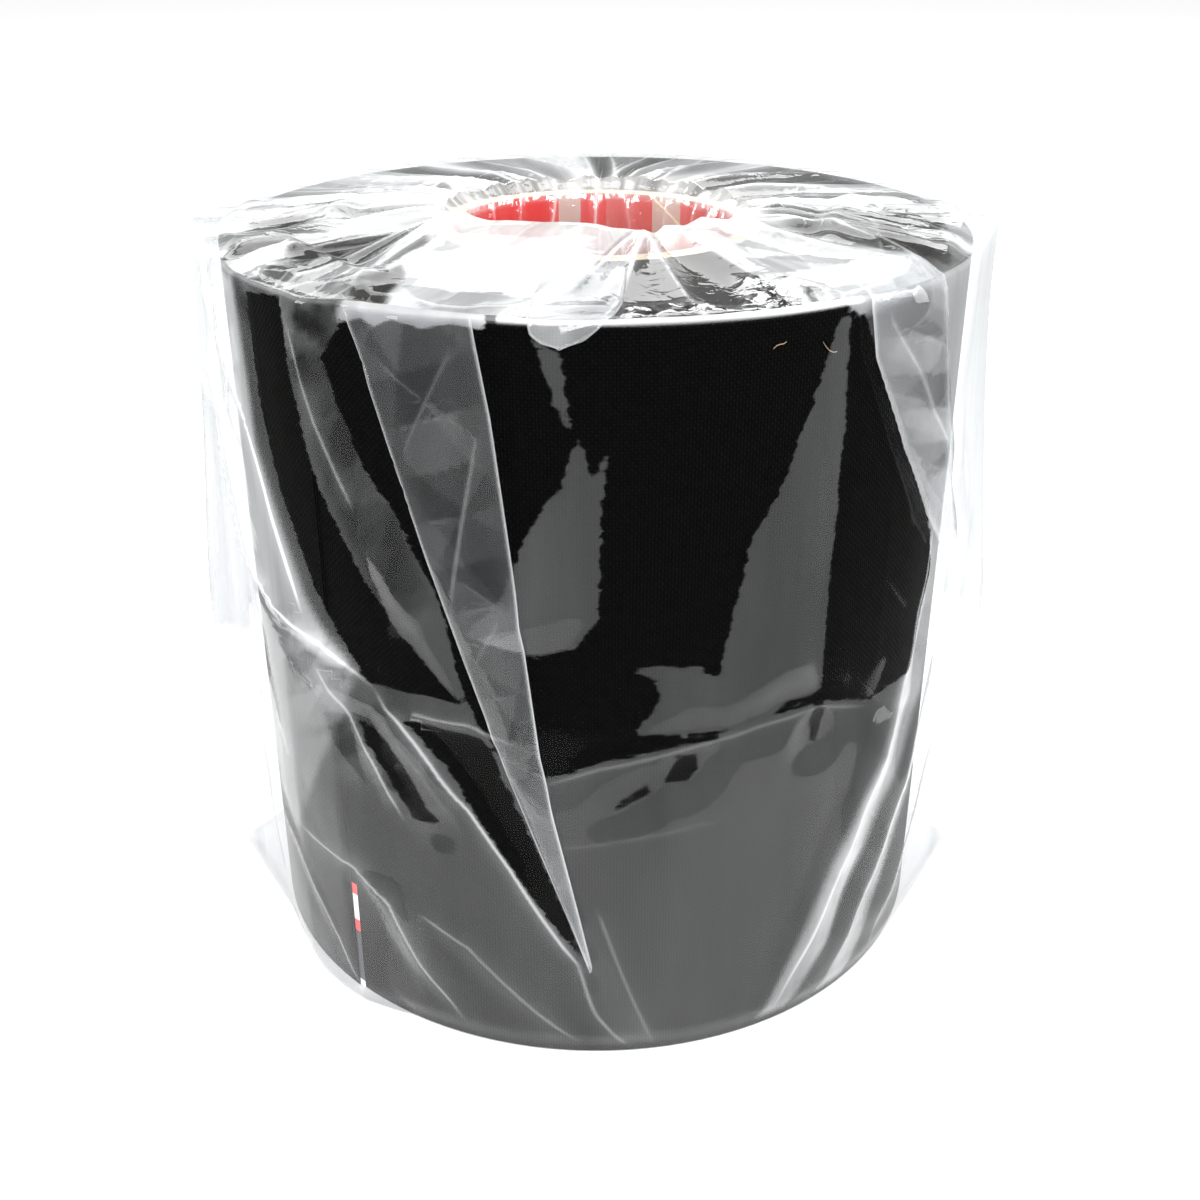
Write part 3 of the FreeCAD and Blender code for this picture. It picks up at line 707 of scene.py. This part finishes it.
# Hazier stretches of the top: the outline and how hazy the film is there. The haze is partly painted
# reflection.
TOP_VEILS = [
    ([(-33, 53), (-38, 40), (-45, 29), (-62, 18), (-30, 15), (12, 15), (14, 22), (6, 27.5), (-3, 41),
      (-11, 53)], 0.50),
    ([(-11, 53), (-3, 41), (6, 27.5), (12, 22), (9.4, 30.7), (2, 46.8), (1, 53)], 0.24),
    ([(-8, 53), (-3, 41), (8.7, 24.7), (9.4, 30.7), (2, 46.8), (1, 53)], 0.16),
    ([(1, 53), (2, 46.8), (9.4, 30.7), (13, 24), (14, 34), (13.3, 53)], 0.04),
    ([(13.3, 53), (14, 34), (18, 22), (24, 24), (26.6, 40), (27, 53)], 0.035),
    ([(28, 53), (26.7, 42.6), (26.6, 28.4), (22, 18), (60, 18), (66, 27), (60, 36), (51, 53)], 0.42),
    ([(-66, 51), (-74, 43), (-81, 21), (-48, 26), (-59, 41), (-49, 49), (-54, 53)], 0.38),
    ([(-34, 53), (-37, 45), (-48, 26), (-62, 40), (-50, 48), (-54, 53)], 0.06),
    ([(-61.6, 41.5), (-62, 39), (-60.6, 34.4), (-52.4, 25.2), (-44.4, 29.6), (-44.2, 37.2), (-47.5, 43.3),
      (-50.3, 44.6)], 0.008),
    ([(-42, 53), (-45, 47), (-41, 40), (-43, 29), (-37, 32), (-35, 43), (-32, 53)], 0.15),
    ([(-29, 53), (-35, 47), (-34, 39), (-31, 41), (-26, 53)], 0.012),
    ([(-62, 50), (-82.7, 43), (-81.4, 36.4), (-63.5, 40.6)], 0.02),
]
# Crumpled stretches of the top: the same as on the sides, and then how much they glitter.
TOP_CRUMPLES = [
    ([(2, 53), (3, 45), (12, 44), (25, 53)], 31, 4, 0.5, 0.8, 0.2, 0.8),
    ([(16, 53), (24, 38), (33, 44), (34, 53)], 32, 4, 0.5, 0.9, 0.2, 0.8),
    ([(-58, 53), (-64, 40), (-34, 42), (-30, 53)], 33, 8, 1.0, 0.6, 0.2, 0.22),
    ([(-100, 53), (-100, 30), (-66, 36), (-62, 53)], 34, 11, 0.9, 0.6, 0.15, 0.3),
    ([(48, 53), (56, 32), (100, 32), (100, 53)], 35, 10, 0.8, 0.7, 0.15, 0.35),
    ([(-34, 53), (-50, 20), (10, 16), (-2, 40), (-12, 53)], 36, 13, 0.7, 0.4, 0.1, 0.12),
    ([(28, 53), (24, 20), (62, 20), (52, 53)], 37, 12, 0.7, 0.3, 0.1, 0.15),
    ([(-61, 41), (-61, 38), (-59, 34), (-52, 26), (-45, 30), (-45, 37), (-48, 43), (-51, 44)],
     38, 20, 0, 0, 0, 0.01),
    ([(98, 21), (84, 28), (79, 37), (62, 46), (52, 49), (54, 36), (60, 27), (75, 22)],
     39, 12, 0.3, 0.3, 0, 0.06),
]
chance = random.Random(23)
degrees = 66.0
while degrees < 296:
    swirl = chance.uniform(-12, 12)
    TOP_CREASES.append(([(degrees, 51), (degrees + 0.4 * swirl, 35), (degrees + swirl, 20)],
                        chance.uniform(0.7, 1.6), chance.uniform(1.5, 3.5), chance.uniform(0.3, 0.9)))
    if chance.random() < 0.75:
        width = chance.uniform(3, 8)
        TOP_VEILS.append(([(degrees, 53), (degrees + swirl, 15), (degrees + swirl + 1.6 * width, 15),
                           (degrees + width, 53)], chance.choice((0.07, 0.1, 0.25, 0.4, 0.5))))
    degrees += chance.uniform(4, 9)
TOP_VEILS.append(([(98, 21), (84, 28), (79, 37), (62, 46), (52, 49), (54, 36), (60, 27), (75, 22)], 0.05))


def crest_lift(degrees):
    """How far the gathered film stands above the end face where it turns down into the core."""
    degrees = wrap(degrees, 0)
    front = np.exp(-((degrees + 8) / 50) ** 2)
    notch = np.exp(-((degrees - 18) / 8) ** 2)
    return 1.3 + 2.0 * front - 1.3 * notch


def top_film(degrees, distances):
    """The film over the end face: its height above the roll and what is stored there."""
    film = Film(len(degrees))
    plan = np.stack(polar_points(degrees, distances), axis=1)
    inward = np.clip((ROLL - distances) / (ROLL - CREST), 0, 1)
    film.haze_and_reflection[:] = 0.17 + 0.07 * ripple(degrees, distances, 8)
    film.crinkle[:] = 0.2
    for outline, amount in TOP_VEILS:
        soft = 0.5 + 1.5 * (np.abs(outline[0][0]) > 65)
        share = smooth(inside_outline(polar(outline), plan), -soft, soft)
        film.haze_and_reflection += (amount - film.haze_and_reflection) * share
    film.haze_and_reflection = np.maximum(film.haze_and_reflection, 0.25 * smooth(distances, 38, 50) * (np.abs(wrap(degrees, 0)) > 66))
    for path, height, half_width, white in TOP_CREASES:
        signed, along = near_path(polar(path), plan)
        middle = np.full(len(along), 0.5)
        film.fold(signed, middle, height, half_width, 0.7 * white, grow=0.2 + 0.8 * inward)
    for outline, seed, size, height, tone, white, crinkle in TOP_CRUMPLES:
        share = smooth(inside_outline(polar(outline), plan), -1, 2)
        film.crumple(share, plan[:, 0], plan[:, 1], seed, size, height, tone, white)
        film.crinkle += (crinkle - film.crinkle) * share
    folds = film.rise * (1 - 0.35 * smooth(inward, 0.8, 1.0))
    lift = crest_lift(degrees) * smooth(inward, 0.05, 1.0) + folds
    most = 0.35 + 0.35 * np.clip(ROLL - distances, 0, 9)
    lift = np.where(distances > ROLL - 4, np.minimum(lift, most), lift)
    return lift, film


def polar_points(degrees, distances):
    angle = np.radians(degrees)
    return distances * np.sin(angle), -distances * np.cos(angle)


def spin_profile(profile, columns):
    """A surface of revolution about the roll's axis from a list of (distance, height), in millimetres."""
    bm = bmesh.new()
    row = [bm.verts.new((0, -distance, height)) for distance, height in profile]
    edges = [bm.edges.new(pair) for pair in zip(row, row[1:])]
    bmesh.ops.spin(bm, geom=row + edges, cent=(0, 0, 0), axis=(0, 0, 1), angle=math.tau, steps=columns,
                   use_merge=True)
    bmesh.ops.recalc_face_normals(bm, faces=bm.faces)
    return bm


def read_points(mesh):
    points = np.zeros(len(mesh.vertices) * 3)
    mesh.vertices.foreach_get("co", points)
    return points.reshape(-1, 3)


def write_points(mesh, degrees, distances, heights):
    x, y = polar_points(degrees, distances)
    mesh.vertices.foreach_set("co", (np.stack([x, y, heights], axis=1) * MM).ravel())
    mesh.update()


def closer_at_front(degrees):
    """Moves evenly spaced columns so that the front has more of them, for its finer folds."""
    return degrees - math.degrees(0.45) * np.sin(np.radians(degrees))


RIM_BEND = 0.7
COLUMNS, SIDE_ROWS, TOP_ROWS = 440, 112, 72
cling_radius = ROLL + CLING
side_rows = [(cling_radius, float(height)) for height in np.linspace(0.25, TOP - RIM_BEND + CLING, SIDE_ROWS)]
rim_rows = [(cling_radius - RIM_BEND * (1 - math.cos(turn)), TOP + CLING - RIM_BEND * (1 - math.sin(turn)))
            for turn in np.linspace(0, math.pi / 2, 7)[1:]]
top_rows = [(float(distance), TOP + CLING)
            for distance in np.linspace(cling_radius - RIM_BEND, CREST, TOP_ROWS)[1:]]
bag_film_material = film_material("bag_film")
bag_film = link_mesh("bag_film", spin_profile(side_rows + rim_rows + top_rows, COLUMNS), bag_film_material)
points = read_points(bag_film.data)
distances = np.hypot(points[:, 0], points[:, 1])
heights = points[:, 2]
degrees = closer_at_front(np.degrees(np.arctan2(points[:, 0], -points[:, 1])))
radius, film = side_film(degrees, np.minimum(heights, TOP))
lift, top_part = top_film(degrees, distances)
# A white line along the rim, strongest at the front: painted highlight where the film bends over the rim.
rim_highlight = np.where(np.abs(degrees - 12) < 24, 1.0, 0.2)
film.line(heights - TOP - 0.25, rim_highlight * (0.7 + 0.5 * ripple(degrees, 0, 9)))
on_top = distances < cling_radius - 0.85 * RIM_BEND
stretch = (radius - CREST) / (cling_radius - CREST)
distances = CREST + (distances - CREST) * stretch
heights = heights + lift * smooth(cling_radius - distances, -1, 2) * (heights > TOP)
for field in ("touch", "haze_and_reflection", "crease", "white", "crinkle"):
    setattr(film, field, np.where(on_top, getattr(top_part, field), getattr(film, field)))
film.shade = 1.3 * smooth(distances - ROLL, 2.0, 4.0)  # painted shade where two layers of film stand in front of each other
film.store(bag_film.data)
write_points(bag_film.data, degrees, distances, heights)
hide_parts("bag_sleeve", "bag_mouth_fold")
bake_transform(bag_film)


# ---- Bag mouth ----
# The bag's open end, gathered by hand, pushed 25 mm down into the core and lying against the liner in pleats.
TUCK_DEPTH = (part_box("bag_mouth_tuck")[1].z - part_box("bag_mouth_tuck")[0].z) / MM
TUCK_WALL = 18.55  # distance from the axis
turn_rows = [(TUCK_WALL + (CREST - TUCK_WALL) * math.cos(turn), TOP + CLING * (1 - turn))
             for turn in np.linspace(0, math.pi / 2, 9)]
wall_rows = [(TUCK_WALL, float(height)) for height in np.linspace(TOP - 1, TOP + 0.4 - TUCK_DEPTH, 36)]
mouth_tuck = link_mesh("mouth_tuck", spin_profile(turn_rows + wall_rows, 320), bag_film_material)
points = read_points(mouth_tuck.data)
distances = np.hypot(points[:, 0], points[:, 1])
heights = points[:, 2]
degrees = np.degrees(np.arctan2(points[:, 0], -points[:, 1]))
lift, film = top_film(degrees, np.full(len(degrees), CREST))
down = smooth(TOP + CLING - heights, 0, 1.5)
heights = heights + lift * (1 - down)
film = Film(len(degrees))
film.haze_and_reflection[:] = 0.05 + 0.03 * ripple(degrees, heights, 12) + 0.3 * smooth(heights, TOP - 1, TOP + 0.5)
film.crinkle[:] = 0.4
chance = random.Random(5)
angle = -180.0
while angle < 172:
    lean = chance.uniform(-0.6, 0.6)
    signed = (wrap(degrees, angle) - angle - lean * (TOP - heights)) * math.radians(1) * TUCK_WALL
    depth = chance.uniform(0.5, 2.0)
    film.fold(signed, np.full(len(signed), 0.5), depth, chance.uniform(0.8, 1.8), chance.uniform(0.1, 0.4))
    angle += chance.uniform(9, 22)
film.store(mouth_tuck.data)
write_points(mouth_tuck.data, degrees, distances - film.rise * smooth(TOP + CLING - heights, -2, 3), heights)
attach(mouth_tuck, "bag_mouth")
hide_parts("bag_mouth_tuck")


# ---- Bag bottom ----
# The closed end of the bag, pressed flat by the roll that stands on it.
bottom_rows = [(float(distance), 0.05) for distance in np.linspace(cling_radius - 0.2, 1.0, 24)]
bag_base = link_mesh("bag_base", spin_profile([(cling_radius, 0.25)] + bottom_rows, 220), bag_film_material)
bm = bmesh.new()
bm.from_mesh(bag_base.data)
bmesh.ops.holes_fill(bm, edges=[e for e in bm.edges if e.is_boundary and e.verts[0].co.xy.length < 5])
bm.to_mesh(bag_base.data)
bm.free()
points = read_points(bag_base.data)
distances = np.hypot(points[:, 0], points[:, 1])
degrees = np.degrees(np.arctan2(points[:, 0], -points[:, 1]))
radius, film = side_film(degrees, np.full(len(degrees), 0.25))
film.touch[:] = np.where(distances < 40, 3.0, film.touch)
film.store(bag_base.data)
write_points(bag_base.data, degrees, distances * radius / cling_radius, points[:, 2])
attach(bag_base, "wrapped_roll")
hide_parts("bag_bottom")


# ---- Pleats ----
# Where the bag has too much film round the rim, it lies over itself in flat double folds. A long dart runs
# down the left of the front, a broad flap hangs off the right of the rim, and a small tongue off its middle.
def bag_place(degrees, drops, gap):
    """Places on the outside of the bag, by their drop below the rim, which is negative on the top."""
    radius, film = side_film(degrees, TOP - np.maximum(drops, 0))
    at_rim, film = side_film(degrees, np.full(len(drops), TOP))
    plain = cling_radius + np.minimum(drops, 0)
    lift, film = top_film(degrees, plain)
    plain = CREST + (plain - CREST) * (at_rim - CREST) / (cling_radius - CREST)
    down = smooth(drops, -2, 1)
    heights = TOP - np.maximum(drops, 0) + CLING * (1 - smooth(drops, 0, 2)) + lift * (drops < 0)
    return np.where(drops > 0, radius, plain) + gap * down, heights + gap * (1 - down)


def double_fold(name, left, right, shape, looks):
    """A flat double layer of film between two edges, each a path of (degrees, drop below the rim)."""
    rows, across, gap, bulge = shape
    haze_and_reflection, white, crinkle, seed, size, tone = looks
    bm = bmesh.new()
    for _ in range(2):
        bmesh.ops.create_grid(bm, x_segments=across, y_segments=rows, size=0.5)
    bm.verts.ensure_lookup_table()
    for vert in bm.verts[:len(bm.verts) // 2]:
        vert.co.z = -1
    piece = link_mesh(name, bm, bag_film_material)
    points = read_points(piece.data)
    over, up, outer = points[:, 0] + 0.5, points[:, 1] + 0.5, points[:, 2] > -0.5
    sides = []
    for path in (left, right):
        path = np.array(path, float)
        reached = np.concatenate([[0], np.cumsum(np.linalg.norm(np.diff(path, axis=0), axis=1))])
        sides.append([np.interp(1 - up, reached / reached[-1], path[:, axis]) for axis in range(2)])
    degrees = sides[0][0] + (sides[1][0] - sides[0][0]) * over
    drops = sides[0][1] + (sides[1][1] - sides[0][1]) * over
    width = np.abs(sides[1][0] - sides[0][0]) * DEGREE
    film = Film(len(degrees))
    film.haze_and_reflection[:] = haze_and_reflection
    film.crinkle[:] = crinkle
    swell = np.sin(math.pi * over) ** 0.6
    film.crumple(np.where(outer, swell, 0), degrees * DEGREE, drops, seed, size, 0.5, tone, 0.5 * white)
    film.line(over * width, white)
    film.line((1 - over) * width, white)
    thick = np.where(outer, 0.12 + (bulge + film.rise) * swell, 0)
    radius, heights = bag_place(degrees, drops, gap + thick)
    film.store(piece.data)
    write_points(piece.data, degrees, radius, heights)
    bm = bmesh.new()
    bm.from_mesh(piece.data)
    bmesh.ops.remove_doubles(bm, verts=bm.verts, dist=0.13 * MM)
    bmesh.ops.recalc_face_normals(bm, faces=bm.faces)
    bm.to_mesh(piece.data)
    bm.free()
    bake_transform(piece)
    return piece


long_dart = double_fold("long_dart",
                        [(-32.7, 0.6), (-27.8, 14.5), (-22.9, 28.3), (-13.3, 53.7), (-1.2, 84.6)],
                        [(-15.1, 0.2), (-13.1, 10.5), (-11.6, 22), (-7.7, 53), (-0.6, 84.6)],
                        (170, 36, 0.35, 0.7), (0.031, 0.28, 0.06, 41, 10, 0.9))
rim_flap = double_fold("rim_flap", [(33, -4), (36.2, 0), (37.8, 6.5), (45.7, 19), (58.8, 35.5)],
                       [(50, -3), (50.5, 0), (55, 14), (58.5, 22), (61.5, 33.5)],
                       (90, 36, 1.0, 1.2), (0.095, 0.30, 0.10, 42, 8, 0.9))
tongue = double_fold("tongue", [(-9.5, -12), (-8.6, -3), (-8.4, 0), (-8, 1.2), (-6.5, 2.0), (-4.5, 2.3)],
                     [(5.5, -14), (3.5, -4), (2.2, -0.8), (0.5, 0.5), (-1.5, 1.6), (-4.2, 2.3)],
                     (40, 30, 0.35, 0.4), (0.12, 0.10, 0.1, 43, 8, 0.3))


# ---- Lint ----
# Two short stray fibres, caught under the film near the rim.
material, tree = new_material("lint")
shader = add_node(tree, "BsdfPrincipled", {"Base Color": (0.34, 0.24, 0.15, 1), "Roughness": 0.8})
finish_material(tree, shader.outputs[0])
LINT = [[(22.6, 96.4), (23.0, 96.7), (23.5, 96.8), (24.0, 96.8), (24.4, 97.0)],
        [(30.0, 96.3), (30.5, 95.7), (31.1, 95.2), (31.8, 94.9), (32.4, 94.9)]]
for number, path in enumerate(LINT):
    bm = bmesh.new()
    bmesh.ops.create_circle(bm, cap_ends=True, segments=6, radius=0.05 * MM)
    face = bm.faces[:]
    bmesh.ops.rotate(bm, verts=bm.verts, matrix=Matrix.Rotation(math.pi / 2, 3, "Y"))
    spots = [Vector((*polar_points(angle, ROLL + 0.16), height)) * MM for angle, height in path]
    bmesh.ops.translate(bm, verts=bm.verts, vec=spots[0])
    for before, after in zip(spots, spots[1:]):
        grown = bmesh.ops.extrude_face_region(bm, geom=face)
        bmesh.ops.delete(bm, geom=face, context="FACES_ONLY")
        face = [part for part in grown["geom"] if isinstance(part, bmesh.types.BMFace)]
        bmesh.ops.translate(bm, verts=[v for v in grown["geom"] if isinstance(v, bmesh.types.BMVert)],
                            vec=after - before)
    bmesh.ops.recalc_face_normals(bm, faces=bm.faces)
    fibre = link_mesh(f"lint_{number + 1}", bm, material)
    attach(fibre, "wrapped_roll")
